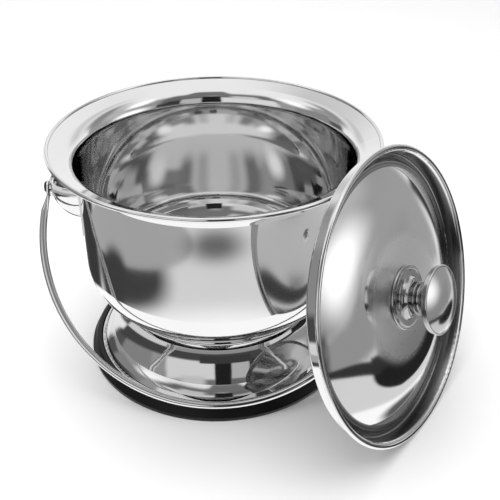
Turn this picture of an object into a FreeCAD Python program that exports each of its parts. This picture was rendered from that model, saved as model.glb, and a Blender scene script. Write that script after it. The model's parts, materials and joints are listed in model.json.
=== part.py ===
import FreeCAD, Part
import math
import os

import Sketcher

# A stainless steel bedside pot: a flanged bowl welded to a flared foot, a rubber ring under the foot,
# a wire bail hung from two pressed ears, and a domed drop-in lid that leans against the rim.
#
# Frame: the origin is on the floor at the centre of the foot, +Z is up and -Y is the front.
# The bail turns about a line parallel to X. Lengths are millimetres and angles are degrees.

DIMENSIONS = [
    # Bowl
    ("sheet_gauge", 1.0, "thickness of the bowl and foot sheet"),
    ("rim_radius", 135.0, "outside of the rolled rim"),
    ("rim_height", 201.0, "top of the rolled rim above the floor"),
    ("rim_bead", 1.7, "section radius of the rolled rim"),
    ("flange_slope", 22.0, "rise of the flange towards the rim"),
    ("throat_bend", 14.4, "bend where the flange meets the neck"),
    ("neck_radius", 112.0, "outside of the straight neck"),
    ("neck_bottom", 97.0, "height where the neck ends and the bowl rounds in"),
    ("corner_bend", 40.0, "bend between the neck and the crowned bottom"),
    ("crown_angle", 25.0, "half angle of the crowned bottom"),
    # Foot
    ("collar_radius", 86.5, "centre of the collar bead under the bowl"),
    ("collar_bead", 2.5, "section radius of the collar bead"),
    ("weld_gap", 0.02, "gap left between two welded surfaces"),
    ("part_gap", 0.03, "gap left between two pieces that rest on each other"),
    ("waist_radius", 84.0, "outside of the foot's waist"),
    ("waist_height", 47.0, "height of the foot's waist"),
    ("skirt_bend", 45.0, "hollow curve of the foot's skirt"),
    ("skirt_radius", 96.2, "bottom of the skirt"),
    ("skirt_height", 20.6, "height of the skirt's bottom"),
    ("apron_radius", 103.6, "outer edge of the foot's apron"),
    ("apron_height", 13.8, "height of the apron's outer edge"),
    ("apron_bend", 22.0, "crown of the apron"),
    ("foot_bead_radius", 106.6, "centre of the rolled foot edge"),
    ("foot_bead", 1.6, "section radius of the rolled foot edge"),
    # Rubber ring
    ("ring_inner_radius", 98.0, "inside of the rubber ring"),
    ("ring_outer_radius", 117.0, "outside of the rubber ring on the floor"),
    ("ring_top_radius", 112.6, "outside of the ring's top"),
    ("ring_height", 11.0, "height of the ring's outer lip"),
    ("ring_ledge", 7.3, "height of the ledge that carries the foot"),
    ("ring_lip_radius", 108.4, "inside of the ring's outer lip"),
    ("ring_step", 2.4, "height of the ring's bottom band"),
    ("ring_step_depth", 0.8, "depth of the step above the bottom band"),
    ("ring_round", 2.2, "round on the outer lip"),
    # Ears and bail pivots
    ("pivot_height", 153.8, "height of the bail's pivot line"),
    ("ear_centre_height", 160.0, "height of the middle of the pressed cup"),
    ("ear_reach", 26.0, "how far the pressed cup stands out"),
    ("ear_half_width", 23.0, "half width of the pressed cup"),
    ("ear_drop", 33.0, "depth of the pressed cup below its middle"),
    ("ear_gauge", 1.3, "thickness of the ear's sheet"),
    ("ear_top", 163.0, "height of the open top of the ear"),
    ("ear_face", 137.4, "distance of the ear's flat face from the middle"),
    ("ear_boss_radius", 8.0, "radius of the flat face"),
    ("ear_boss_depth", 3.0, "thickness of the boss behind the flat face"),
    ("ear_tab_half_width", 27.5, "half width of the welded tab"),
    ("ear_tab_bottom", 122.5, "bottom of the welded tab"),
    ("rivet_radius", 2.3, "radius of the rivet's shank"),
    ("rivet_head_radius", 4.6, "radius of the rivet's inner head"),
    ("rivet_head_depth", 1.8, "depth of the rivet's inner head"),
    ("rivet_fit", 0.03, "gap round the rivet's shank"),
    ("washer_radius", 5.6, "radius of the black washer"),
    ("washer_depth", 1.4, "thickness of the black washer"),
    ("bush_radius", 3.2, "radius of the bush that the bail turns on"),
    ("bush_cap_radius", 4.7, "radius of the bush's cap"),
    ("bush_cap_depth", 2.1, "depth of the bush's cap"),
    ("side_gap", 0.3, "play on each side of the bail's eye"),
    ("bush_fit", 0.05, "running gap between the bush and the eye"),
    # Bail
    ("bail_wire", 3.0, "radius of the bail's wire"),
    ("bail_radius", 143.5, "radius of the bail's curve"),
    ("bail_drop", 36.3, "how far the curve's centre hangs below the pivot line"),
    ("bail_hang", 39.0, "forward angle of the hanging bail"),
    ("eye_gauge", 1.5, "thickness of the flattened eye"),
    ("eye_radius", 5.4, "radius of the flattened eye"),
    ("eye_neck", 7.0, "distance from the pivot to the eye's neck"),
    ("eye_neck_half_width", 4.8, "half width of the eye at its neck"),
    ("wire_end", 20.0, "distance from the pivot to the end of the round wire"),
    # Lid
    ("lid_gauge", 0.8, "thickness of the lid's sheet"),
    ("lid_radius", 115.6, "outside of the lid's rolled edge"),
    ("lid_bead", 1.7, "section radius of the rolled edge"),
    ("lid_depth", 14.2, "depth of the drop-in wall below the rolled edge's top"),
    ("lid_wall_radius", 110.3, "outside of the drop-in wall"),
    ("lid_corner", 2.4, "bend under the drop-in wall"),
    ("lid_floor_radius", 105.8, "inner edge of the channel's lowest band"),
    ("lid_ledge_radius", 102.8, "outer edge of the channel's upper band"),
    ("lid_ledge_height", 3.2, "height of the upper band"),
    ("dome_edge_radius", 99.6, "edge of the dome"),
    ("dome_shoulder_radius", 62.0, "where the dome's shoulder begins"),
    ("dome_shoulder_height", 13.2, "height where the shoulder begins"),
    ("dome_shoulder_bend", 128.0, "curve of the dome's shoulder"),
    ("dome_crown_bend", 470.0, "curve of the dome's crown"),
    ("lid_hole_radius", 2.8, "hole for the knob's screw"),
    ("lid_lean", 17.38, "angle that the lid leans back from upright"),
    ("lid_facing", -35.07, "compass angle of the lid's outer face"),
    ("lid_stand_radius", 174.0, "distance of the standing lid from the pot's axis"),
    ("lid_stand_angle", -33.9, "compass angle of the standing lid"),
    # Knob
    ("gasket_depth", 1.0, "thickness of the gasket under the knob"),
    ("gasket_radius", 17.0, "radius of the gasket"),
    ("rose_radius", 25.0, "outside of the knob's rose"),
    ("rose_bead", 1.0, "section radius of the rose's rolled edge"),
    ("rose_ring_radius", 21.2, "ring pressed in the rose"),
    ("rose_neck_radius", 14.6, "where the rose turns up to the neck"),
    ("rose_height", 6.4, "height of the rose"),
    ("spool_radius", 12.4, "radius of the spool's rings"),
    ("spool_waist", 10.4, "radius of the spool's waist"),
    ("spool_height", 8.4, "height of the spool"),
    ("cup_height", 12.4, "height of the knob's cup"),
    ("cup_floor", 4.4, "height of the cup's floor above the spool"),
    ("cup_radius", 26.2, "outside of the cup's lip"),
    ("cup_band", 4.6, "height of the cup's upright band"),
    ("cap_rise", 4.6, "rise of the domed cap"),
    ("knob_wall", 1.2, "thickness of the knob's walls"),
    ("cap_clearance", 0.3, "gap between the cup's wall and the cap"),
    ("cap_skirt", 1.6, "depth of the cap's edge inside the cup"),
    ("insert_radius", 5.0, "outside of the threaded insert"),
    ("insert_fit", 0.05, "gap round the threaded insert"),
    ("insert_lift", 0.2, "gap between the insert and the gasket"),
    ("insert_flange", 2.6, "width of the insert's flange"),
    ("insert_flange_depth", 2.4, "depth of the insert's flange"),
    ("screw_radius", 2.5, "radius of the knob's screw"),
    ("screw_head_radius", 5.0, "radius of the screw's head"),
    ("screw_head_depth", 3.0, "depth of the screw's head"),
    ("screw_washer_radius", 7.5, "radius of the washer under the lid"),
    ("screw_washer_depth", 1.2, "thickness of the washer under the lid"),
]


class Size:
    """A number together with the spreadsheet expression that gives it."""

    def __init__(self, value, text):
        self.value = value
        self.text = text

    def __add__(self, other):
        other = as_size(other)
        return Size(self.value + other.value, f"({self.text} + {other.text})")

    def __sub__(self, other):
        other = as_size(other)
        return Size(self.value - other.value, f"({self.text} - {other.text})")

    def __mul__(self, other):
        other = as_size(other)
        return Size(self.value * other.value, f"({self.text} * {other.text})")

    def __truediv__(self, other):
        other = as_size(other)
        return Size(self.value / other.value, f"({self.text} / {other.text})")

    def __neg__(self):
        return Size(-self.value, f"(0 - {self.text})")


def as_size(number):
    return number if isinstance(number, Size) else Size(float(number), f"{float(number):.6f}")


def sine(angle):
    return Size(math.sin(math.radians(angle.value)), f"sin({angle.text} * 1 deg)")


def cosine(angle):
    return Size(math.cos(math.radians(angle.value)), f"cos({angle.text} * 1 deg)")


def tangent(angle):
    return Size(math.tan(math.radians(angle.value)), f"tan({angle.text} * 1 deg)")


def root(square):
    return Size(math.sqrt(square.value), f"sqrt({square.text})")


class Sizes:
    """The driving dimensions, each as a Size: size.rim_radius is dims.rim_radius in the sheet."""


def make_sheet(doc):
    sheet = doc.addObject("Spreadsheet::Sheet", "dims")
    sizes = Sizes()
    for row, (alias, value, note) in enumerate(DIMENSIONS, start=1):
        sheet.set(f"A{row}", alias)
        sheet.set(f"B{row}", str(value))
        sheet.set(f"C{row}", note)
        sheet.setAlias(f"B{row}", alias)
        setattr(sizes, alias, Size(value, f"dims.{alias}"))
    doc.recompute()
    return sizes


doc = FreeCAD.newDocument("bedside_pot")
size = make_sheet(doc)
UP = FreeCAD.Vector(0, 0, 1)
finished = []


# ---------------------------------------------------------------- sketches and bodies


def origin_plane(body, role):
    for feature in body.Origin.OriginFeatures:
        if feature.Role == role:
            return feature
    raise ValueError(f"no origin feature called {role}")


def new_body(label):
    body = doc.addObject("PartDesign::Body", label + "_body")
    body.Label = label
    finished.append(body)
    return body


def new_sketch(body, name, role="XZ_Plane"):
    sketch = body.newObject("Sketcher::SketchObject", name)
    sketch.AttachmentSupport = [(origin_plane(body, role), "")]
    sketch.MapMode = "FlatFace"
    return sketch


def bind_distance(sketch, kind, element, point, length):
    """Fixes one coordinate of a sketch point, measured from the sketch's origin."""
    if abs(length.value) < 1e-9:
        axis = -2 if kind == "DistanceX" else -1
        sketch.addConstraint(Sketcher.Constraint("PointOnObject", element, point, axis))
        return
    if length.value > 0:
        constraint = Sketcher.Constraint(kind, -1, 1, element, point, length.value)
    else:
        length = -length
        constraint = Sketcher.Constraint(kind, element, point, -1, 1, length.value)
    index = sketch.addConstraint(constraint)
    sketch.setExpression(f"Constraints[{index}]", length.text)


def arc_between(start, end, bend):
    """The shorter arc from start to end. A positive bend has its centre on the left.

    A sketch holds its arcs anticlockwise, so an arc that bends to the right is stored end first.
    """
    chord = end - start
    left = FreeCAD.Vector(-chord.y, chord.x, 0).normalize()
    offset = math.sqrt(bend * bend - chord.Length * chord.Length / 4)
    centre = start + chord / 2 + left * math.copysign(offset, bend)
    first, last = (start, end) if bend > 0 else (end, start)
    first_angle = math.atan2(first.y - centre.y, first.x - centre.x)
    last_angle = math.atan2(last.y - centre.y, last.x - centre.x)
    if last_angle < first_angle:
        last_angle += 2 * math.pi
    return Part.ArcOfCircle(Part.Circle(centre, UP, abs(bend)), first_angle, last_angle)


def draw_outline(sketch, corners):
    """Draws a closed outline. A corner is (x, y) or (x, y, bend of the arc that leaves it)."""
    corners = [tuple(as_size(number) for number in corner) for corner in corners]
    places = [FreeCAD.Vector(corner[0].value, corner[1].value, 0) for corner in corners]
    first = sketch.GeometryCount
    count = len(corners)
    for index, corner in enumerate(corners):
        start = places[index]
        end = places[(index + 1) % count]
        if len(corner) == 3:
            sketch.addGeometry(arc_between(start, end, corner[2].value), False)
        else:
            sketch.addGeometry(Part.LineSegment(start, end), False)
    starts = []
    for index in range(count):
        edge = sketch.Geometry[first + index]
        runs_forward = (edge.StartPoint - places[index]).Length < 1e-6
        starts.append(1 if runs_forward else 2)
    for index, corner in enumerate(corners):
        element = first + index
        before = first + (index - 1) % count
        before_end = 3 - starts[(index - 1) % count]
        sketch.addConstraint(
            Sketcher.Constraint("Coincident", before, before_end, element, starts[index])
        )
        bind_distance(sketch, "DistanceX", element, starts[index], corner[0])
        bind_distance(sketch, "DistanceY", element, starts[index], corner[1])
        if len(corner) == 3:
            bend = corner[2] if corner[2].value > 0 else -corner[2]
            number = sketch.addConstraint(Sketcher.Constraint("Radius", element, bend.value))
            sketch.setExpression(f"Constraints[{number}]", bend.text)


def draw_circle(sketch, x, y, radius):
    x, y, radius = as_size(x), as_size(y), as_size(radius)
    centre = FreeCAD.Vector(x.value, y.value, 0)
    element = sketch.addGeometry(Part.Circle(centre, UP, radius.value), False)
    bind_distance(sketch, "DistanceX", element, 3, x)
    bind_distance(sketch, "DistanceY", element, 3, y)
    number = sketch.addConstraint(Sketcher.Constraint("Radius", element, radius.value))
    sketch.setExpression(f"Constraints[{number}]", radius.text)


def draw_flat_oval(sketch, half_length, half_width):
    """Draws an ellipse about the sketch's origin, with its long side along Y."""
    long_end = FreeCAD.Vector(0, half_length.value, 0)
    short_end = FreeCAD.Vector(-half_width.value, 0, 0)
    oval = sketch.addGeometry(Part.Ellipse(long_end, short_end, FreeCAD.Vector(0, 0, 0)), False)
    sketch.exposeInternalGeometry(oval)
    long_axis = oval + 1
    short_axis = oval + 2
    sketch.addConstraint(Sketcher.Constraint("Coincident", oval, 3, -1, 1))
    sketch.addConstraint(Sketcher.Constraint("Vertical", long_axis))
    for axis, half in ((long_axis, half_length), (short_axis, half_width)):
        length = half * 2
        number = sketch.addConstraint(Sketcher.Constraint("Distance", axis, 1, axis, 2, length.value))
        sketch.setExpression(f"Constraints[{number}]", length.text)


def revolve(body, sketch, name):
    turned = body.newObject("PartDesign::Revolution", name)
    turned.Profile = sketch
    turned.ReferenceAxis = (sketch, ["V_Axis"])
    turned.Angle = 360.0
    body.Tip = turned
    sketch.Visibility = False
    return turned


def add_ring(body, name, corners):
    """Adds a solid turned about the body's Z axis from an outline in (radius, height)."""
    sketch = new_sketch(body, name + "_outline")
    draw_outline(sketch, corners)
    return revolve(body, sketch, name)


def add_bead(body, name, radius, height, section):
    """Adds a round bead, such as a rolled edge."""
    sketch = new_sketch(body, name + "_section")
    draw_circle(sketch, radius, height, section)
    return revolve(body, sketch, name)


def sheet_outline(path, gauge):
    """Outline of sheet metal: the path's own side and the same path one gauge to its left.

    A point of the path is (radius, height, facing) or (radius, height, facing, bend), where facing is
    the angle in which the path's side looks and bend belongs to the arc that leads to the next point.
    """
    near = []
    far = []
    for index, point in enumerate(path):
        radius, height, facing = (as_size(number) for number in point[:3])
        bend = as_size(point[3]) if len(point) == 4 else None
        near.append((radius, height) if bend is None else (radius, height, bend))
        inner_radius = radius - gauge * cosine(facing)
        inner_height = height - gauge * sine(facing)
        before = path[index - 1] if index else ()
        if radius.value == 0:
            inner_radius = radius
        if len(before) == 4:
            far.append((inner_radius, inner_height, -(as_size(before[3]) - gauge)))
        else:
            far.append((inner_radius, inner_height))
    return near + far[::-1]


def add_sheet(body, name, path, gauge):
    """Adds a turned sheet-metal wall."""
    return add_ring(body, name, sheet_outline(path, gauge))


# ---------------------------------------------------------------- bowl, foot and rubber ring


def crown_radius():
    """Radius of the crowned bottom, tangent to the corner bend."""
    return (size.neck_radius - size.corner_bend) / sine(size.crown_angle) + size.corner_bend


def crown_centre():
    """Height of the crown's centre, on the pot's axis."""
    return size.neck_bottom + (crown_radius() - size.corner_bend) * cosine(size.crown_angle)


def make_bowl():
    body = new_body("bowl_shell")
    slope = size.flange_slope
    bead_radius = size.rim_radius - size.rim_bead
    bead_height = size.rim_height - size.rim_bead
    throat_end = size.neck_radius + size.throat_bend * (as_size(1) - sine(slope))
    throat_top = bead_height - (bead_radius - throat_end) * tangent(slope) - size.sheet_gauge / 2
    throat_bottom = throat_top - size.throat_bend * cosine(slope)
    crown = crown_radius()
    crown_edge = crown * sine(size.crown_angle)
    crown_edge_height = crown_centre() - crown * cosine(size.crown_angle)
    flange_facing = slope - 90
    path = [
        (0, crown_centre() - crown, -90, crown),
        (crown_edge, crown_edge_height, size.crown_angle - 90, size.corner_bend),
        (size.neck_radius, size.neck_bottom, 0),
        (size.neck_radius, throat_bottom, 0, -size.throat_bend),
        (throat_end, throat_top, flange_facing),
        (bead_radius, bead_height - size.sheet_gauge / 2, flange_facing),
    ]
    add_sheet(body, "bowl_wall", path, size.sheet_gauge)
    add_bead(body, "rim_roll", bead_radius, bead_height, size.rim_bead)


def make_foot():
    body = new_body("foot_stand")
    reach = crown_radius() + size.collar_bead + size.weld_gap
    collar_height = crown_centre() - root(reach * reach - size.collar_radius * size.collar_radius)
    foot_bead_height = size.ring_ledge + size.part_gap + size.foot_bead
    hem_radius = size.foot_bead_radius - size.foot_bead / 2
    hem_lean = 0.2
    # The angles above level in which the outside of the sheet looks, from the hem up to the collar.
    hem_facing = 12
    apron_facing = 26
    skirt_facing = 50
    waist_facing = 4
    collar_facing = -8
    path = [
        (hem_radius, foot_bead_height - size.foot_bead / 2, 0),
        (hem_radius - hem_lean, foot_bead_height + size.foot_bead / 2, hem_facing),
        (size.apron_radius, size.apron_height, apron_facing, size.apron_bend),
        (size.skirt_radius, size.skirt_height, skirt_facing, -size.skirt_bend),
        (size.waist_radius, size.waist_height, waist_facing),
        (size.collar_radius - size.collar_bead / 2, collar_height, collar_facing),
    ]
    add_sheet(body, "foot_wall", path, size.sheet_gauge)
    add_bead(body, "foot_roll", size.foot_bead_radius, foot_bead_height, size.foot_bead)
    add_bead(body, "collar_roll", size.collar_radius, collar_height, size.collar_bead)


def make_base_ring():
    body = new_body("base_ring")
    step_radius = size.ring_outer_radius - size.ring_step_depth
    step_slant = 0.5
    lip_round_height = size.ring_height - size.ring_round
    lip_bend = size.ring_round * 1.3
    corners = [
        (size.ring_inner_radius, 0),
        (size.ring_outer_radius, 0),
        (size.ring_outer_radius, size.ring_step),
        (step_radius, size.ring_step + step_slant),
        (size.ring_top_radius + size.ring_round / 2, lip_round_height, lip_bend),
        (size.ring_top_radius - size.ring_round / 2, size.ring_height),
        (size.ring_lip_radius, size.ring_height),
        (size.ring_lip_radius, size.ring_ledge),
        (size.ring_inner_radius, size.ring_ledge),
    ]
    add_ring(body, "ring_solid", corners)


# ---------------------------------------------------------------- ears and pivots


def primitive(kind, name, **sizes):
    """Makes a Part primitive whose named properties follow the sheet."""
    solid = doc.addObject(kind, name)
    for prop, value in sizes.items():
        value = as_size(value)
        setattr(solid, prop, value.value)
        solid.setExpression(prop, value.text)
    solid.Visibility = False
    return solid


def move_to(solid, x=0, y=0, z=0):
    for axis, value in (("x", x), ("y", y), ("z", z)):
        value = as_size(value)
        setattr(solid.Placement.Base, axis, value.value)
        solid.setExpression(f"Placement.Base.{axis}", value.text)
    return solid


def point_along_x(solid):
    solid.Placement = FreeCAD.Placement(
        FreeCAD.Vector(0, 0, 0), FreeCAD.Rotation(FreeCAD.Vector(0, 1, 0), 90)
    )
    return solid


def combine(kind, name, base, tool):
    result = doc.addObject(kind, name)
    result.Base = base
    result.Tool = tool
    return result


def keep_box(name, low, high):
    box = primitive(
        "Part::Box",
        name,
        Length=as_size(high[0]) - low[0],
        Width=as_size(high[1]) - low[1],
        Height=as_size(high[2]) - low[2],
    )
    return move_to(box, *low)


def make_ear(side):
    """A pressed cup, open at the top, with a flat face for the pivot and a tab welded to the neck."""
    label = f"ear_{side}"
    gauge = size.ear_gauge
    cup_sizes = {"Radius1": size.ear_drop, "Radius2": size.ear_reach, "Radius3": size.ear_half_width}
    outside = primitive("Part::Ellipsoid", label + "_outside", Angle1=-90, Angle2=90, **cup_sizes)
    inner_sizes = {name: value - gauge for name, value in cup_sizes.items()}
    inside = primitive("Part::Ellipsoid", label + "_inside", Angle1=-90, Angle2=90, **inner_sizes)
    for cup in (outside, inside):
        move_to(cup, size.neck_radius, 0, size.ear_centre_height)
    wide = size.ear_tab_half_width
    space = keep_box(label + "_space", (0, -wide, 0), (size.ear_face, wide, size.ear_top))
    cup = combine("Part::Common", label + "_cup", outside, space)

    boss = primitive("Part::Cylinder", label + "_boss", Radius=size.ear_boss_radius,
                     Height=size.ear_boss_depth)
    point_along_x(boss)
    move_to(boss, size.ear_face - size.ear_boss_depth, 0, size.pivot_height)
    hollow_cup = combine("Part::Cut", label + "_hollow_cup", cup, inside)
    cup_and_boss = combine("Part::Fuse", label + "_cup_and_boss", hollow_cup, boss)

    tab_outside = primitive("Part::Cylinder", label + "_tab_outside",
                            Radius=size.neck_radius + gauge, Height=size.ear_top - size.ear_tab_bottom)
    move_to(tab_outside, 0, 0, size.ear_tab_bottom)
    tab = combine("Part::Common", label + "_tab", tab_outside, space)
    ear = combine("Part::Fuse", label + "_with_tab", cup_and_boss, tab)

    neck = primitive("Part::Cylinder", label + "_neck", Radius=size.neck_radius + size.weld_gap,
                     Height=size.rim_height)
    hole = primitive("Part::Cylinder", label + "_hole", Radius=size.rivet_radius + size.rivet_fit,
                     Height=size.ear_face)
    point_along_x(hole)
    move_to(hole, size.neck_radius, 0, size.pivot_height)
    on_neck = combine("Part::Cut", label + "_on_neck", ear, neck)
    finished_ear = combine("Part::Cut", label + "_drilled", on_neck, hole)
    finished_ear.Label = label
    finished_ear.Placement = side_placement(side, along_x=False)
    finished.append(finished_ear)


def side_placement(side, along_x=True):
    """Places a piece on the left or the right: its local Z or X axis points away from the pot."""
    half_turn = FreeCAD.Rotation(UP, 180 if side == "left" else 0)
    if not along_x:
        return FreeCAD.Placement(FreeCAD.Vector(0, 0, 0), half_turn)
    outward = half_turn.multiply(FreeCAD.Rotation(FreeCAD.Vector(0, 1, 0), 90))
    return FreeCAD.Placement(FreeCAD.Vector(0, 0, size.pivot_height.value), outward)


def washer_top():
    return size.ear_face + size.washer_depth


def eye_inside():
    return washer_top() + size.side_gap


def cap_face():
    return eye_inside() + size.eye_gauge + size.side_gap


def make_pivot(side):
    """Rivet, washer and bush of one pivot. Heights run outwards along the pivot line."""
    place = side_placement(side)
    bore = size.rivet_radius + size.rivet_fit
    boss_back = size.ear_face - size.ear_boss_depth
    head_back = boss_back - size.rivet_head_depth
    cap_top = cap_face() + size.bush_cap_depth
    head_round = 1.2
    head_bend = 1.4
    shank_end = cap_face() + 1.0
    socket_end = shank_end + 0.05

    rivet = new_body(f"pivot_rivet_{side}")
    add_ring(rivet, f"rivet_{side}", [
        (0, head_back),
        (size.rivet_head_radius - head_round, head_back, head_bend),
        (size.rivet_head_radius, head_back + head_round),
        (size.rivet_head_radius, boss_back - size.rivet_fit),
        (size.rivet_radius, boss_back - size.rivet_fit),
        (size.rivet_radius, shank_end),
        (0, shank_end),
    ])
    rivet.Placement = place

    washer_chamfer = 0.4
    washer = new_body(f"pivot_washer_{side}")
    add_ring(washer, f"washer_{side}", [
        (bore, size.ear_face),
        (size.washer_radius, size.ear_face),
        (size.washer_radius, washer_top() - washer_chamfer),
        (size.washer_radius - washer_chamfer, washer_top()),
        (bore, washer_top()),
    ])
    washer.Placement = place

    cap_round = 1.2
    cap_shoulder = 1.4
    cap_bend = 1.5
    bush = new_body(f"pivot_bush_{side}")
    add_ring(bush, f"bush_{side}", [
        (bore, washer_top()),
        (size.bush_radius, washer_top()),
        (size.bush_radius, cap_face()),
        (size.bush_cap_radius, cap_face()),
        (size.bush_cap_radius, cap_top - cap_round, cap_bend),
        (size.bush_cap_radius - cap_shoulder, cap_top),
        (0, cap_top),
        (0, socket_end),
        (bore, socket_end),
    ])
    bush.Placement = place


# ---------------------------------------------------------------- bail


def make_bail():
    """A round wire bent to one arc, with its ends flattened into eyes. Its local X is the pivot line."""
    body = new_body("bail")
    below = size.wire_end - size.bail_drop
    end_x = root(size.bail_radius * size.bail_radius - below * below)
    lowest = size.bail_drop + size.bail_radius

    path = new_sketch(body, "bail_path")
    start = FreeCAD.Vector(0, -lowest.value, 0)
    end = FreeCAD.Vector(end_x.value, -size.wire_end.value, 0)
    arc = path.addGeometry(arc_between(start, end, size.bail_radius.value), False)
    bind_distance(path, "DistanceX", arc, 1, as_size(0))
    bind_distance(path, "DistanceY", arc, 1, -lowest)
    bind_distance(path, "DistanceX", arc, 2, end_x)
    bind_distance(path, "DistanceY", arc, 2, -size.wire_end)
    number = path.addConstraint(Sketcher.Constraint("Radius", arc, size.bail_radius.value))
    path.setExpression(f"Constraints[{number}]", size.bail_radius.text)

    section = new_sketch(body, "bail_section", "YZ_Plane")
    draw_circle(section, 0, -lowest, size.bail_wire)
    doc.recompute()
    wire = body.newObject("PartDesign::AdditivePipe", "bail_wire_half")
    wire.Profile = section
    wire.Spine = (path, ["Edge1"])

    eye_middle = eye_inside() + size.eye_gauge / 2
    wire_lean = math.degrees(math.atan2(below.value, end_x.value))
    round_end = new_sketch(body, "wire_end_section", "XY_Plane")
    round_end.AttachmentOffset = FreeCAD.Placement(
        FreeCAD.Vector(end_x.value, 0, -size.wire_end.value),
        FreeCAD.Rotation(FreeCAD.Vector(0, 1, 0), wire_lean),
    )
    draw_circle(round_end, 0, 0, size.bail_wire)

    flat_end = new_sketch(body, "eye_neck_section", "XY_Plane")
    flat_end.AttachmentOffset = FreeCAD.Placement(
        FreeCAD.Vector(eye_middle.value, 0, -size.eye_neck.value), FreeCAD.Rotation()
    )
    draw_flat_oval(flat_end, size.eye_neck_half_width, size.eye_gauge / 2)
    doc.recompute()
    neck = body.newObject("PartDesign::AdditiveLoft", "bail_flattening")
    neck.Profile = round_end
    neck.Sections = [flat_end]
    doc.recompute()

    eye_sketch = new_sketch(body, "eye_outline", "YZ_Plane")
    eye_sketch.AttachmentOffset = FreeCAD.Placement(
        FreeCAD.Vector(0, 0, eye_inside().value), FreeCAD.Rotation()
    )
    half = size.eye_radius
    draw_outline(eye_sketch, [
        (-size.eye_neck_half_width, -size.eye_neck),
        (size.eye_neck_half_width, -size.eye_neck),
        (half, 0, half),
        (0, half, half),
        (-half, 0),
    ])
    draw_circle(eye_sketch, 0, 0, size.bush_radius + size.bush_fit)
    eye = body.newObject("PartDesign::Pad", "bail_eye")
    eye.Profile = eye_sketch
    eye.setExpression("Length", size.eye_gauge.text)
    doc.recompute()

    mirror = body.newObject("PartDesign::Mirrored", "bail_other_half")
    mirror.Originals = [wire, neck, eye]
    mirror.MirrorPlane = (origin_plane(body, "YZ_Plane"), [""])
    body.Tip = mirror
    body.Placement = FreeCAD.Placement(
        FreeCAD.Vector(0, 0, size.pivot_height.value),
        FreeCAD.Rotation(FreeCAD.Vector(1, 0, 0), -size.bail_hang.value),
    )


# ---------------------------------------------------------------- lid and knob


def lid_placement():
    """The lid's own Z axis looks out of its dome, and its origin is under the dome's middle."""
    stand = math.radians(size.lid_stand_angle.value)
    bead_radius = size.lid_radius - size.lid_bead
    rise = size.lid_bead + size.lid_bead * sine(size.lid_lean) + bead_radius * cosine(size.lid_lean)
    turn = FreeCAD.Rotation(size.lid_facing.value, 90 - size.lid_lean.value, 0)
    centre = FreeCAD.Vector(
        size.lid_stand_radius.value * math.cos(stand),
        size.lid_stand_radius.value * math.sin(stand),
        rise.value,
    )
    return FreeCAD.Placement(centre - turn.multVec(UP) * size.lid_depth.value, turn)


def crown_drop(radius):
    """How far the dome's crown has fallen at a radius."""
    bend = size.dome_crown_bend
    return bend - root(bend * bend - radius * radius)


def dome_inside():
    """Height of the dome's underside at its middle."""
    return size.dome_shoulder_height + crown_drop(size.dome_shoulder_radius)


def dome_outside(radius):
    return dome_inside() + size.lid_gauge - crown_drop(radius)


def make_lid_shell():
    body = new_body("lid_shell")
    bead_radius = size.lid_radius - size.lid_bead
    bead_height = size.lid_depth - size.lid_bead
    hole = size.lid_hole_radius
    # The angles above level in which the underside looks, from the shoulder out to the channel.
    shoulder_facing = -97.6
    dome_edge_facing = -104
    ledge_facing = -110
    channel_facing = -108
    ledge_fall = 0.2
    channel_rise = 0.1
    wall_top_radius = size.lid_wall_radius + 0.3
    hem_bend = 1.5
    path = [
        (hole, dome_inside() - crown_drop(hole), -90, -size.dome_crown_bend),
        (size.dome_shoulder_radius, size.dome_shoulder_height, shoulder_facing, -size.dome_shoulder_bend),
        (size.dome_edge_radius, size.lid_ledge_height, dome_edge_facing),
        (size.lid_ledge_radius, size.lid_ledge_height - ledge_fall, ledge_facing),
        (size.lid_floor_radius, channel_rise, channel_facing),
        (size.lid_wall_radius - size.lid_corner, 0, -90, size.lid_corner),
        (size.lid_wall_radius, size.lid_corner, 0),
        (wall_top_radius, bead_height - hem_bend, 0, -hem_bend),
        (wall_top_radius + hem_bend, bead_height, -90),
        (bead_radius, bead_height, -90),
    ]
    add_sheet(body, "lid_wall", path, size.lid_gauge)
    add_bead(body, "lid_roll", bead_radius, bead_height, size.lid_bead)
    return body


# Heights of the knob's stack above the underside of the lid's channel, from the dome outwards.
GASKET_TOP = dome_outside(as_size(0)) + size.gasket_depth
ROSE_TOP = GASKET_TOP + size.rose_height
SPOOL_TOP = ROSE_TOP + size.spool_height
CUP_FLOOR = SPOOL_TOP + size.cup_floor
CUP_TOP = SPOOL_TOP + size.cup_height
INSERT_TOP = CUP_FLOOR + size.insert_flange_depth
INSERT_BORE = size.insert_radius + size.insert_fit
SCREW_BORE = size.screw_radius + size.part_gap
SCREW_SEAT = dome_inside() - size.screw_washer_depth - size.part_gap


def make_gasket():
    gasket = new_body("knob_gasket")
    bore = size.lid_hole_radius
    edge = size.gasket_radius
    add_ring(gasket, "gasket", [
        (bore, dome_outside(bore) + size.weld_gap, -size.dome_crown_bend),
        (edge, dome_outside(edge) + size.weld_gap),
        (edge, GASKET_TOP),
        (bore, GASKET_TOP),
    ])
    return gasket


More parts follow.
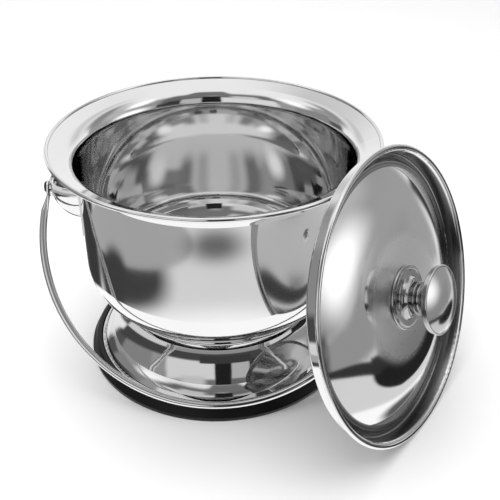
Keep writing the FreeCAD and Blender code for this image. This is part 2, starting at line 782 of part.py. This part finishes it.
def make_rose():
    """The rose: a rolled edge on the dome, a pressed ring, and a curve up to the spool."""
    rose = new_body("knob_base")
    lift = 0.1
    edge_height = dome_outside(size.rose_radius) + size.rose_bead + lift
    ring_top = edge_height + 1.5
    ring_bend = 1.6
    neck_bend = 6.5
    add_ring(rose, "rose_wall", [
        (INSERT_BORE, GASKET_TOP),
        (size.gasket_radius + 0.5, GASKET_TOP),
        (size.rose_radius - 1.6, edge_height - 0.2),
        (size.rose_radius - 1.0, edge_height + 0.7),
        (size.rose_ring_radius + 1.0, ring_top - 0.3, ring_bend),
        (size.rose_ring_radius - 0.8, ring_top),
        (size.rose_neck_radius + 2.6, ring_top - 0.1, -neck_bend),
        (size.spool_radius + 0.6, ROSE_TOP),
        (INSERT_BORE, ROSE_TOP),
    ])
    add_bead(rose, "rose_roll", size.rose_radius - size.rose_bead, edge_height, size.rose_bead)
    return rose


def make_spool():
    """The knob's neck: a waist with one raised ring, and a hollow curve up to the cup."""
    spool = new_body("knob_neck")
    quarter = size.spool_height / 4
    ring_bend = 1.3
    hollow_bend = 2.6
    add_ring(spool, "spool", [
        (INSERT_BORE, ROSE_TOP),
        (size.spool_waist, ROSE_TOP),
        (size.spool_waist, ROSE_TOP + quarter * 0.6),
        (size.spool_radius, ROSE_TOP + quarter, ring_bend),
        (size.spool_radius, ROSE_TOP + quarter * 2),
        (size.spool_waist, ROSE_TOP + quarter * 2.3, -hollow_bend),
        (size.spool_waist + 0.4, SPOOL_TOP),
        (INSERT_BORE, SPOOL_TOP),
    ])
    return spool


def make_cup():
    """The knob's cup: it flares from the spool and turns up into an upright band with a rounded lip."""
    cup = new_body("knob_cup")
    lip = size.cup_radius
    inside = lip - size.knob_wall
    band_bottom = CUP_TOP - size.cup_band
    flare_bend = 16.0
    corner_bend = 2.6
    lip_bend = 0.7
    add_ring(cup, "cup_wall", [
        (INSERT_BORE, SPOOL_TOP),
        (size.spool_radius + 0.4, SPOOL_TOP),
        (size.spool_radius + 0.8, SPOOL_TOP + 1.2, -flare_bend),
        (lip - 2.2, band_bottom - 0.6, corner_bend),
        (lip - 0.5, band_bottom + 1.6),
        (lip, CUP_TOP - 0.8, lip_bend),
        (lip - 0.6, CUP_TOP),
        (inside, CUP_TOP),
        (inside - size.cap_clearance, band_bottom + 1.6),
        (size.spool_radius + 1.6, CUP_FLOOR),
        (INSERT_BORE, CUP_FLOOR),
    ])
    return cup


def make_cap():
    """The domed cap that closes the cup."""
    cap = new_body("knob_cap")
    wall = size.knob_wall
    edge = size.cup_radius - wall - size.cap_clearance
    bend = (edge * edge + size.cap_rise * size.cap_rise) / (size.cap_rise * 2)
    top = CUP_TOP + size.cap_rise
    skirt = CUP_TOP - size.cap_skirt
    inner_bend = bend - wall
    inner_edge = edge - wall
    inner_fall = inner_bend - root(inner_bend * inner_bend - inner_edge * inner_edge)
    add_ring(cap, "cap_shell", [
        (0, top - wall),
        (0, top, -bend),
        (edge, CUP_TOP),
        (edge, skirt),
        (inner_edge, skirt),
        (inner_edge, top - wall - inner_fall, inner_bend),
    ])
    return cap


def make_insert():
    """The threaded insert: a sleeve through the rose, spool and cup with a flange on the cup's floor."""
    insert = new_body("knob_insert")
    foot = GASKET_TOP + size.insert_lift
    flange = size.insert_radius + size.insert_flange
    flange_bottom = CUP_FLOOR + size.part_gap
    add_ring(insert, "insert", [
        (SCREW_BORE, foot),
        (size.insert_radius, foot),
        (size.insert_radius, flange_bottom),
        (flange, flange_bottom),
        (flange, INSERT_TOP),
        (SCREW_BORE, INSERT_TOP),
    ])
    return insert


def make_screw():
    """The screw from under the lid, with a rounded head and a chamfered tip."""
    screw = new_body("knob_screw")
    head_bottom = SCREW_SEAT - size.screw_head_depth
    head_rim = SCREW_SEAT - 1.0
    head_round = 1.6
    head_bend = 3.4
    tip = INSERT_TOP - 0.4
    tip_chamfer = 0.6
    add_ring(screw, "screw", [
        (0, head_bottom),
        (size.screw_head_radius - head_round, head_bottom, head_bend),
        (size.screw_head_radius, head_rim),
        (size.screw_head_radius, SCREW_SEAT - size.part_gap),
        (size.screw_radius, SCREW_SEAT - size.part_gap),
        (size.screw_radius, tip - tip_chamfer),
        (size.screw_radius - tip_chamfer, tip),
        (0, tip),
    ])
    return screw


def make_screw_washer():
    washer = new_body("screw_washer")
    edge = size.screw_washer_radius
    top = dome_inside() - crown_drop(edge) - size.part_gap
    add_ring(washer, "screw_washer_ring", [
        (SCREW_BORE, SCREW_SEAT),
        (edge, SCREW_SEAT),
        (edge, top),
        (SCREW_BORE, top),
    ])
    return washer


def make_lid():
    """The lid and its knob, built about the lid's own axis and then leaned against the rim."""
    place = lid_placement()
    makers = (
        make_lid_shell, make_gasket, make_rose, make_spool, make_cup,
        make_cap, make_insert, make_screw, make_screw_washer,
    )
    for make_piece in makers:
        make_piece().Placement = place


# ---------------------------------------------------------------- check and write


def check_document():
    for feature in doc.Objects:
        for problem in ("Invalid", "Error"):
            if problem in feature.State:
                raise RuntimeError(f"{feature.Name} is in state {feature.State}")
    for piece in finished:
        if piece.Shape.isNull() or not piece.Shape.isValid():
            raise RuntimeError(f"{piece.Label} has no valid shape")
        if len(piece.Shape.Solids) != 1:
            raise RuntimeError(f"{piece.Label} has {len(piece.Shape.Solids)} solids")


def write_parts():
    os.makedirs("parts", exist_ok=True)
    for piece in finished:
        piece.Shape.exportStep(f"parts/{piece.Label}.step")
        print(f"{piece.Label}: {piece.Shape.Volume / 1000:.2f} cm3")


make_bowl()
make_foot()
make_base_ring()
for side_name in ("left", "right"):
    make_ear(side_name)
    make_pivot(side_name)
make_bail()
make_lid()
doc.recompute()
check_document()
write_parts()
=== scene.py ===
"""The look of the bedside pot: steel, rubber and nylon materials, a soft studio and the camera."""

import json
import math
from collections import namedtuple

import bpy
from mathutils import Euler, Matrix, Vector


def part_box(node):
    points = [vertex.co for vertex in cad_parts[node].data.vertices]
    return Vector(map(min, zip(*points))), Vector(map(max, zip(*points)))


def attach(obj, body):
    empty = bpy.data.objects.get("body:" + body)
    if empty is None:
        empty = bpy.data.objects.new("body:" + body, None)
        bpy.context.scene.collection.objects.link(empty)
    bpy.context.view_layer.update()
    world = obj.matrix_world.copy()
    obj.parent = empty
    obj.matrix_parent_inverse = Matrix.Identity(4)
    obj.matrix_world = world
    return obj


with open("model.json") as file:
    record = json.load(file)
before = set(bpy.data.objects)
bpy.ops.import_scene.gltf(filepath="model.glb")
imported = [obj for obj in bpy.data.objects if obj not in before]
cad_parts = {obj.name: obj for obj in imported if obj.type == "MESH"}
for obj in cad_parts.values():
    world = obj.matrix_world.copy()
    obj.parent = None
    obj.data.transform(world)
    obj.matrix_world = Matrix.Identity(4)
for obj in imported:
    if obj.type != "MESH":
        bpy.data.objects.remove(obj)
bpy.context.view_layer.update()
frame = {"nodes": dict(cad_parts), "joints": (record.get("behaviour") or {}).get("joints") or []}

# Where the camera stands and what it looks at, in metres, and its lens and sensor in millimetres.
CAMERA_PLACE = Vector((0.0282, -0.5882, 0.4664))
CAMERA_AIM = Vector((0.0282, 0.0, 0.0911))
CAMERA_LENS = 57.25
CAMERA_SENSOR = 36.0

# A turning axis: a point on it, the way it faces round the vertical, and its lean off the vertical.
Axis = namedtuple("Axis", "centre facing lean")
UPRIGHT = Axis(Vector((0.0, 0.0, 0.0)), facing=0.0, lean=0.0)

# The lid leans back from upright by this angle; the way it faces is the way it slides aside.
LID_LEAN = math.radians(17.38)
SLIDE = next(joint for joint in frame["joints"] if joint["name"] == "lid_aside")
LID_FACING = math.atan2(SLIDE["axis"][1], SLIDE["axis"][0])

# Brightness of the studio where no panel covers it, and of the plain backdrop that the camera sees.
STUDIO_BRIGHTNESS = 1.12
BACKDROP_BRIGHTNESS = 1.0

# The studio's panels, which the steel mirrors, painted in this order, later ones over earlier ones.
# Azimuth 0 is behind the pot, 90 to its right and 180 behind the camera. Angles are in degrees.
Panel = namedtuple("Panel", "name azimuth elevation half_width half_height softness tilt shape brightness")
PANELS = [
    Panel("near_wall", 180, 18, 128, 26, 4, 0, "square", 0.42),
    Panel("right_dark_drape", 47, -12, 3.5, 9, 2, -20, "square", 0.06),
    Panel("right_dark_wall", 137, 15, 11, 35, 2, 0, "square", 0.05),
    Panel("high_left_near", -150, 46, 30, 13, 9, 0, "square", 0.20),
    Panel("high_left_far", -50, 38, 10, 16, 9, 0, "square", 0.36),
    Panel("high_back_left", -24, 36, 9, 22, 8, 0, "square", 0.76),
    Panel("high_back_right", 29, 36, 9, 22, 8, 0, "square", 0.80),
    Panel("high_right_far", 57, 38, 12, 18, 9, 0, "square", 0.34),
    Panel("high_right", 84, 34, 14, 18, 9, 0, "square", 0.62),
    Panel("high_right_side", 114, 38, 16, 16, 9, 0, "square", 0.40),
    Panel("high_right_near", 150, 46, 22, 15, 8, 0, "square", 0.18),
    Panel("camera_side_ceiling", 170, 60, 26, 16, 6, 0, "square", 0.22),
    Panel("left_near_wall", -88, 12, 20, 18, 3, 0, "square", 0.32),
    Panel("left_far_corner", -62, 4, 8, 14, 3, 0, "square", 0.12),
    Panel("left_softbox", -151, 15, 26, 19, 3, 0, "square", 0.92),
    Panel("left_softbox_top", -153, 37, 13, 8, 5, 0, "square", 0.75),
    Panel("right_strip", 157, 16, 9, 17, 1.5, 0, "square", 0.6),
    Panel("camera_gap", 175, 18, 8.5, 24, 1.0, 0, "square", 0.02),
    Panel("left_high_light", -100, 42, 13, 12, 8, 0, "round", 1.4),
    Panel("right_high_light", 100, 47, 12, 11, 8, 0, "round", 1.7),
    Panel("right_far_wall", 70, -8, 17, 18, 5, 0, "square", 0.44),
    Panel("right_low_wall", 98, -15, 32, 9, 3, 0, "square", 0.38),
    Panel("right_softbox", 101, 9, 16, 11, 8, 20, "round", 1.65),
    Panel("skirting", -150, -13, 92, 10, 3, 0, "square", 0.08),
    Panel("near_skirting", 172, -6, 27, 8, 1.2, 0, "square", 0.06),
    Panel("table_far", 0, -29, 400, 9, 1.5, 0, "square", 0.86),
    Panel("table_edge", 180, -21.5, 60, 2.2, 1.2, 0, "square", 0.38),
    Panel("table_behind", -5, -29, 54, 9, 3, 0, "square", 0.12),
    Panel("right_table_edge", 70, -27.0, 18, 5.4, 0.5, 5, "round", 0.02),
    Panel("right_table_gap", 97, -21.4, 32, 1.9, 0.5, 8, "round", 0.04),
    Panel("left_dark_gap", -43, -31, 15, 6, 1.5, 0, "round", 0.05),
    Panel("left_dark_floor", -98, -33.6, 41, 2.8, 0.8, 1.5, "round", 0.06),
    Panel("left_low_panel", -108, -31.0, 55, 2.5, 0.15, 1.1, "round", 0.48),
    Panel("left_low_notch", -82, -34.2, 17, 2.4, 0.6, 0, "round", 0.06),
    Panel("camera_smudge", 179, -32.2, 22, 1.1, 0.8, 0, "round", 0.16),
    Panel("table_near", 0, -64, 400, 27, 1.2, 0, "square", 1.3),
    Panel("lid_side_table", -18, -62, 34, 17, 6, 0, "round", 1.0),
    Panel("lid_side_shadow", -31, -48.5, 12, 8, 2, 0, "round", 0.07),
    Panel("right_floor_shadow", 64, -42.5, 16, 4, 1.5, 0, "round", 0.14),
]

# Polish lines and clouds in steel: their noise scales, how far the lines wander round the axis in
# metres, and the shares by which clouds change the tone and lines change the roughness.
LINE_SCALE = 1600.0
LINE_WANDER = 0.004
CLOUD_SCALE = 28.0
TONE_SPREAD = (0.97, 1.02)
GLOSS_SPREAD = (0.75, 1.25)

# The patches of uneven sheen in rubber and nylon.
PATCH_SCALE = 40.0
PATCH_SPREAD = (0.8, 1.2)
MOULDED_SPECULAR = 0.25

# Rings of the lid, as radii from its axis in metres. The channel lies between the dome and the rolled edge;
# its darker tone is painted shade, with painted highlight lines at its steps and a painted shadow line in
# the seam inside the rolled edge.
CHANNEL_INNER = 0.0990
CHANNEL_OUTER = 0.1099
CHANNEL_SOFTNESS = 0.0004
CHANNEL_STEPS = (0.1003, 0.1028, 0.1058)
STEP_HALF_WIDTH = 0.0003
SEAM_RADIUS = 0.1131
SEAM_HALF_WIDTH = 0.0005
LINE_SOFTNESS = 0.0003
# Tones of the channel's painted shade, and its roughness.
CHANNEL_SHADE_TONES = (0.15, 0.30)
CHANNEL_ROUGHNESS = 0.22
# Tone and share of the painted highlight lines at the channel's steps.
STEP_HIGHLIGHT_TONE = 0.6
STEP_HIGHLIGHT_SHARE = 0.5
# Tone of the painted shadow line in the seam.
SEAM_SHADOW_TONE = 0.01

# The dome is satin round the knob and polished towards its edge.
SATIN_RADIUS = 0.044
POLISHED_RADIUS = 0.058
SATIN_ROUGHENING = 5.5

# The lid's hollow side fades in as the cosine between a face's normal and the lid's outward
# direction falls from the second number to the first.
HOLLOW_FACING = (-0.6, -0.5)
# The hollow side's darker tone is painted shade; its roughness makes it satin.
HOLLOW_SHADE_TONE = 0.60
HOLLOW_ROUGHNESS = 0.13

# Section radius of the rolled rim, how far the smooth skin stands off it, and the skin's facets.
RIM_ROLL = 0.0017
RIM_SKIN = 0.00004
RIM_FACETS_AROUND = 720
RIM_FACETS_ACROSS = 32

# The floor's disc, its drop below the rubber ring's face in metres, and its mottling.
FLOOR_RADIUS = 2.4
FLOOR_SIDES = 96
FLOOR_DROP = 0.0002
FLOOR_MOTTLE_SCALE = 9.0
FLOOR_TONES = (0.90, 0.93)
FLOOR_ROUGHNESS = 0.8


class Tree:
    """The node tree of a material or world, written as sums and products of sockets."""

    def __init__(self, owner):
        owner.use_nodes = True
        self.tree = owner.node_tree
        self.tree.nodes.clear()

    def node(self, kind, **settings):
        made = self.tree.nodes.new(kind)
        for name, value in settings.items():
            setattr(made, name, value)
        return made

    def put(self, value, socket):
        """Links a socket, or stores a plain number or colour."""
        if isinstance(value, bpy.types.NodeSocket):
            self.tree.links.new(value, socket)
        else:
            socket.default_value = value

    def maths(self, operation, *values):
        made = self.node("ShaderNodeMath", operation=operation)
        for value, socket in zip(values, made.inputs):
            self.put(value, socket)
        return made.outputs[0]

    def length(self, x, y):
        """The length of a flat vector."""
        squares = (self.maths("MULTIPLY", side, side) for side in (x, y))
        return self.maths("SQRT", self.maths("ADD", *squares))

    def turned(self, x, y, angle):
        """The place of a point along axes that are turned by an angle."""
        along = self.maths(
            "ADD",
            self.maths("MULTIPLY", x, math.cos(angle)),
            self.maths("MULTIPLY", y, math.sin(angle)),
        )
        over = self.maths(
            "SUBTRACT",
            self.maths("MULTIPLY", y, math.cos(angle)),
            self.maths("MULTIPLY", x, math.sin(angle)),
        )
        return along, over

    def dot(self, first, second):
        made = self.node("ShaderNodeVectorMath", operation="DOT_PRODUCT")
        self.put(first, made.inputs[0])
        self.put(second, made.inputs[1])
        return made.outputs["Value"]

    def step(self, value, low, high, to_low=0.0, to_high=1.0):
        """Goes smoothly from to_low to to_high as the value goes from low to high."""
        made = self.node("ShaderNodeMapRange", interpolation_type="SMOOTHSTEP")
        for number, socket in zip((value, low, high, to_low, to_high), made.inputs):
            self.put(number, socket)
        return made.outputs[0]

    def within(self, value, limit, softness):
        """1 up to the limit and 0 beyond it, with a soft edge."""
        return self.step(value, limit - softness, limit + softness, 1.0, 0.0)

    def mix(self, share, first, second):
        made = self.node("ShaderNodeMix", data_type="FLOAT")
        for number, socket in zip((share, first, second), (made.inputs[0], made.inputs[2], made.inputs[3])):
            self.put(number, socket)
        return made.outputs[0]

    def split(self, vector):
        made = self.node("ShaderNodeSeparateXYZ")
        self.put(vector, made.inputs[0])
        return made.outputs

    def join(self, x, y, z):
        made = self.node("ShaderNodeCombineXYZ")
        for value, socket in zip((x, y, z), made.inputs):
            self.put(value, socket)
        return made.outputs[0]

    def coordinates(self, kind):
        return self.node("ShaderNodeTexCoord").outputs[kind]

    def noise(self, vector, scale, detail=2.0, roughness=0.5):
        made = self.node("ShaderNodeTexNoise")
        self.put(vector, made.inputs["Vector"])
        self.put(scale, made.inputs["Scale"])
        self.put(detail, made.inputs["Detail"])
        self.put(roughness, made.inputs["Roughness"])
        return made.outputs["Fac"]

    def grey(self, value):
        """A grey colour of the given brightness."""
        made = self.node("ShaderNodeCombineColor")
        for socket in made.inputs:
            self.put(value, socket)
        return made.outputs[0]

    def bump(self, height, depth, shader):
        """Raises a shader's surface by a height from 0 to 1 times a depth in metres."""
        made = self.node("ShaderNodeBump")
        made.inputs["Strength"].default_value = 1.0
        made.inputs["Distance"].default_value = depth
        self.put(height, made.inputs["Height"])
        self.put(made.outputs[0], shader.inputs["Normal"])

    def end(self, output_kind, shader):
        """Makes a shader the surface that the tree gives out."""
        self.put(shader.outputs[0], self.node(output_kind).inputs["Surface"])


def centre_of(node):
    low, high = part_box(node)
    return (low + high) / 2


def turns(count):
    """The angles of evenly spaced steps round a circle."""
    return [2 * math.pi * step / count for step in range(count)]


def add_object(name, data):
    """Puts a mesh, lamp or camera into the scene as an object."""
    made = bpy.data.objects.new(name, data)
    bpy.context.scene.collection.objects.link(made)
    return made


def stand(thing, place, target):
    """Stands a lamp or the camera in its place, looking at the target."""
    thing.location = place
    thing.rotation_euler = (target - place).to_track_quat("-Z", "Y").to_euler()


def new_material(name):
    """A material, its tree, and the Principled shader that is its surface."""
    material = bpy.data.materials.new(name)
    tree = Tree(material)
    shader = tree.node("ShaderNodeBsdfPrincipled")
    tree.end("ShaderNodeOutputMaterial", shader)
    return material, tree, shader


def make_camera():
    lens = bpy.data.cameras.new("camera")
    lens.lens = CAMERA_LENS
    lens.sensor_width = CAMERA_SENSOR
    camera = add_object("camera", lens)
    stand(camera, CAMERA_PLACE, CAMERA_AIM)
    bpy.context.scene.camera = camera


def paint_panel(tree, azimuth, elevation, under, panel):
    """Paints one soft-edged panel of light, square or round, over what is under it."""
    across = tree.maths("WRAP", tree.maths("SUBTRACT", azimuth, panel.azimuth), 180.0, -180.0)
    up = tree.maths("SUBTRACT", elevation, panel.elevation)
    along, over = tree.turned(across, up, math.radians(panel.tilt))
    if panel.shape == "round":
        share_along = tree.maths("DIVIDE", along, panel.half_width)
        share_over = tree.maths("DIVIDE", over, panel.half_height)
        edge = panel.softness / panel.half_height
        inside = tree.within(tree.length(share_along, share_over), 1, edge)
    else:
        inside_width = tree.within(tree.maths("ABSOLUTE", along), panel.half_width, panel.softness)
        inside_height = tree.within(tree.maths("ABSOLUTE", over), panel.half_height, panel.softness)
        inside = tree.maths("MULTIPLY", inside_width, inside_height)
    painted = tree.mix(inside, under, panel.brightness)
    painted.node.label = panel.name
    return painted


def make_studio():
    """The world: a plain backdrop to the camera, and the painted studio to everything else."""
    world = bpy.data.worlds.new("studio")
    bpy.context.scene.world = world
    tree = Tree(world)
    x, y, z = tree.split(tree.coordinates("Generated"))
    azimuth = tree.maths("MULTIPLY", tree.maths("ARCTAN2", x, y), 180 / math.pi)
    elevation = tree.maths("MULTIPLY", tree.maths("ARCSINE", z), 180 / math.pi)
    brightness = STUDIO_BRIGHTNESS
    for panel in PANELS:
        brightness = paint_panel(tree, azimuth, elevation, brightness, panel)
    camera_ray = tree.node("ShaderNodeLightPath").outputs["Is Camera Ray"]
    background = tree.node("ShaderNodeBackground")
    seen = tree.mix(camera_ray, brightness, BACKDROP_BRIGHTNESS)
    tree.put(tree.grey(seen), background.inputs["Color"])
    tree.end("ShaderNodeOutputWorld", background)


def make_floor():
    """A pale round floor that the camera sees, and that the steel doesn't mirror."""
    rim = [
        (FLOOR_RADIUS * math.cos(turn), FLOOR_RADIUS * math.sin(turn), 0.0) for turn in turns(FLOOR_SIDES)
    ]
    mesh = bpy.data.meshes.new("floor")
    mesh.from_pydata(rim, [], [list(range(FLOOR_SIDES))])
    floor = add_object("floor", mesh)
    floor.location.z = -FLOOR_DROP
    floor.visible_glossy = False
    floor.visible_diffuse = False
    material, tree, shader = new_material("pale_floor")
    mottle = tree.noise(tree.coordinates("Object"), FLOOR_MOTTLE_SCALE)
    tree.put(tree.grey(tree.mix(mottle, *FLOOR_TONES)), shader.inputs["Base Color"])
    shader.inputs["Roughness"].default_value = FLOOR_ROUGHNESS
    mesh.materials.append(material)


def make_ceiling_light():
    """A wide soft light overhead for the floor and the rubber, which the steel doesn't mirror."""
    lamp = bpy.data.lights.new("ceiling_light", "AREA")
    lamp.shape = "DISK"
    lamp.size = 2.0
    lamp.energy = 25.0
    light = add_object("ceiling_light", lamp)
    overhead = Vector((-0.3, -0.2, 1.8))
    under_pot = Vector((0.0, 0.0, 0.0))
    stand(light, overhead, under_pot)
    light.visible_glossy = False
    light.visible_camera = False


def lathe_coordinates(tree, axis):
    """Radius, angle and height about a part's own turning axis, so that polish marks run round it."""
    turned = tree.node("ShaderNodeMapping", vector_type="TEXTURE")
    tree.put(tree.coordinates("Object"), turned.inputs["Vector"])
    tree.put(axis.centre, turned.inputs["Location"])
    turned.inputs["Rotation"].default_value = Euler((0.0, axis.lean, axis.facing))
    x, y, height = tree.split(turned.outputs[0])
    return tree.length(x, y), tree.maths("ARCTAN2", y, x), height


def steel(name, axis, brightness, roughness, line_depth, shade=None):
    """Stainless steel, with fine polish lines round its axis and slight clouding of its tone."""
    material, tree, shader = new_material(name)
    radius, angle, height = lathe_coordinates(tree, axis)
    lines_at = tree.join(
        tree.maths("MULTIPLY", tree.maths("SINE", angle), LINE_WANDER),
        tree.maths("MULTIPLY", tree.maths("COSINE", angle), LINE_WANDER),
        tree.maths("ADD", radius, height),
    )
    lines = tree.noise(lines_at, LINE_SCALE, detail=3.0, roughness=0.6)
    clouds = tree.noise(tree.coordinates("Object"), CLOUD_SCALE, detail=3.0)
    tone = tree.mix(clouds, *(brightness * share for share in TONE_SPREAD))
    gloss = tree.mix(lines, *(roughness * share for share in GLOSS_SPREAD))
    if shade:
        tone, gloss = shade(tree, radius, lines, tone, gloss)
    tree.put(tree.grey(tone), shader.inputs["Base Color"])
    tree.put(gloss, shader.inputs["Roughness"])
    shader.inputs["Metallic"].default_value = 1.0
    tree.bump(lines, line_depth, shader)
    return material


def ring_mask(tree, radius, middle, half_width, softness):
    """1 within a ring about the axis, and 0 outside it."""
    distance = tree.maths("ABSOLUTE", tree.maths("SUBTRACT", radius, middle))
    return tree.within(distance, half_width, softness)


def hollow_mask(tree):
    """1 on the lid's hollow side, and 0 on its dome."""
    level = math.cos(LID_LEAN)
    outward = Vector((math.cos(LID_FACING) * level, math.sin(LID_FACING) * level, math.sin(LID_LEAN)))
    normal = tree.node("ShaderNodeNewGeometry").outputs["Normal"]
    return tree.step(tree.dot(normal, outward), *HOLLOW_FACING, 1.0, 0.0)


def shade_lid(tree, radius, lines, tone, gloss):
    """A satin middle, a hollow side darkened with painted shade, a channel darkened with painted shade,
    painted highlight lines at its steps and a painted shadow line in its seam.
    """
    roughening = tree.step(radius, SATIN_RADIUS, POLISHED_RADIUS, SATIN_ROUGHENING, 1.0)
    gloss = tree.maths("MULTIPLY", gloss, roughening)
    hollow_side = hollow_mask(tree)
    # Painted shade darkens the hollow side's tone, and its roughness makes it satin.
    tone = tree.mix(hollow_side, tone, HOLLOW_SHADE_TONE)
    gloss = tree.mix(hollow_side, gloss, HOLLOW_ROUGHNESS)
    channel_middle = (CHANNEL_INNER + CHANNEL_OUTER) / 2
    channel_half_width = (CHANNEL_OUTER - CHANNEL_INNER) / 2
    # The channel is darkened with painted shade.
    channel = ring_mask(tree, radius, channel_middle, channel_half_width, CHANNEL_SOFTNESS)
    tone = tree.mix(channel, tone, tree.mix(lines, *CHANNEL_SHADE_TONES))
    gloss = tree.mix(channel, gloss, CHANNEL_ROUGHNESS)
    # Painted highlight lines at the channel's steps.
    for step_radius in CHANNEL_STEPS:
        line = ring_mask(tree, radius, step_radius, STEP_HALF_WIDTH, LINE_SOFTNESS)
        tone = tree.mix(tree.maths("MULTIPLY", line, STEP_HIGHLIGHT_SHARE), tone, STEP_HIGHLIGHT_TONE)
    # A painted shadow line in the seam inside the rolled edge.
    seam_shadow = ring_mask(tree, radius, SEAM_RADIUS, SEAM_HALF_WIDTH, LINE_SOFTNESS)
    return tree.mix(seam_shadow, tone, SEAM_SHADOW_TONE), gloss


def moulded(name, tones, roughness, grain_size, grain_depth):
    """Moulded rubber or nylon with a fine grain and an uneven sheen."""
    material, tree, shader = new_material(name)
    place = tree.coordinates("Object")
    grain = tree.noise(place, 1.0 / grain_size, detail=4.0, roughness=0.6)
    patches = tree.noise(place, PATCH_SCALE)
    sheen = tree.mix(patches, *(roughness * share for share in PATCH_SPREAD))
    tree.put(tree.grey(tree.mix(patches, *tones)), shader.inputs["Base Color"])
    tree.put(sheen, shader.inputs["Roughness"])
    shader.inputs["Specular IOR Level"].default_value = MOULDED_SPECULAR
    tree.bump(grain, grain_depth, shader)
    return material


def paint(node, material):
    for place in frame["nodes"][node].material_slots:
        place.material = material


def make_rim_skin(material):
    """A skin on the rolled rim in fine facets, so that its thin highlights run evenly."""
    low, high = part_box("bowl_shell")
    centre = (low + high) / 2
    ring_radius = (high.x - low.x) / 2 - RIM_ROLL
    section = RIM_ROLL + RIM_SKIN
    points = []
    for turn in turns(RIM_FACETS_AROUND):
        for roll in turns(RIM_FACETS_ACROSS):
            reach = ring_radius + section * math.cos(roll)
            height = high.z - RIM_ROLL + section * math.sin(roll)
            points.append((centre.x + reach * math.cos(turn), centre.y + reach * math.sin(turn), height))
    faces = []
    for step in range(RIM_FACETS_AROUND):
        here = step * RIM_FACETS_ACROSS
        there = (step + 1) % RIM_FACETS_AROUND * RIM_FACETS_ACROSS
        for part in range(RIM_FACETS_ACROSS):
            after = (part + 1) % RIM_FACETS_ACROSS
            faces.append((here + part, there + part, there + after, here + after))
    mesh = bpy.data.meshes.new("rim_skin")
    mesh.from_pydata(points, [], faces)
    mesh.shade_smooth()
    mesh.materials.append(material)
    skin = add_object("rim_skin", mesh)
    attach(skin, "pot")


def paint_pot():
    mirror = steel("pot_polished_steel", UPRIGHT, brightness=0.72, roughness=0.05, line_depth=2e-7)
    paint("bowl_shell", mirror)
    make_rim_skin(mirror)
    # The foot's steel is darker than the bowl's as painted shade from the bowl above it.
    paint(
        "foot_stand",
        steel("foot_steel_painted_shade", UPRIGHT, brightness=0.65, roughness=0.05, line_depth=2e-7),
    )
    for side in ("left", "right"):
        paint(f"ear_{side}", mirror)
        paint(
            f"pivot_rivet_{side}",
            steel(f"rivet_{side}_steel", UPRIGHT, brightness=0.7, roughness=0.14, line_depth=2e-6),
        )
        nylon = moulded(
            f"nylon_{side}", tones=(0.012, 0.022), roughness=0.4, grain_size=0.0004, grain_depth=1e-5
        )
        paint(f"pivot_washer_{side}", nylon)
        paint(f"pivot_bush_{side}", nylon)
    rubber = moulded(
        "black_rubber", tones=(0.004, 0.007), roughness=0.36, grain_size=0.0006, grain_depth=2e-5
    )
    paint("base_ring", rubber)


def paint_lid():
    axis = Axis(centre_of("knob_neck"), LID_FACING, math.pi / 2 - LID_LEAN)
    sheet = steel(
        "lid_polished_steel", axis, brightness=0.72, roughness=0.055, line_depth=3e-7, shade=shade_lid
    )
    paint("lid_shell", sheet)
    # Node, its steel's name, brightness and roughness, and the depth of its polish lines in metres.
    for node, name, brightness, roughness, line_depth in (
        # The rose and spool steel are darker as painted shade in the knob's waist.
        ("knob_base", "rose_steel_painted_shade", 0.42, 0.12, 2e-7),
        ("knob_neck", "spool_steel_painted_shade", 0.30, 0.12, 2e-7),
        ("knob_cup", "cup_steel", 0.60, 0.10, 2e-7),
        ("knob_cap", "cap_satin_steel", 0.62, 0.12, 4e-7),
        ("knob_insert", "knob_insert_steel", 0.68, 0.18, 2e-6),
        ("knob_screw", "knob_screw_steel", 0.68, 0.18, 2e-6),
        ("screw_washer", "screw_washer_steel", 0.68, 0.18, 2e-6),
    ):
        paint(node, steel(name, axis, brightness, roughness, line_depth))
    gasket = moulded(
        "gasket_rubber", tones=(0.010, 0.018), roughness=0.4, grain_size=0.0005, grain_depth=1e-5
    )
    paint("knob_gasket", gasket)


def paint_bail():
    axis = Axis(Vector((0.0, 0.0, centre_of("pivot_bush_left").z)), facing=0.0, lean=0.0)
    paint("bail", steel("bail_bright_wire", axis, brightness=0.74, roughness=0.07, line_depth=1e-6))


make_camera()
make_studio()
make_floor()
make_ceiling_light()
paint_pot()
paint_lid()
paint_bail()
bpy.context.scene.view_settings.view_transform = "Standard"
bpy.context.scene.cycles.glossy_bounces = 8
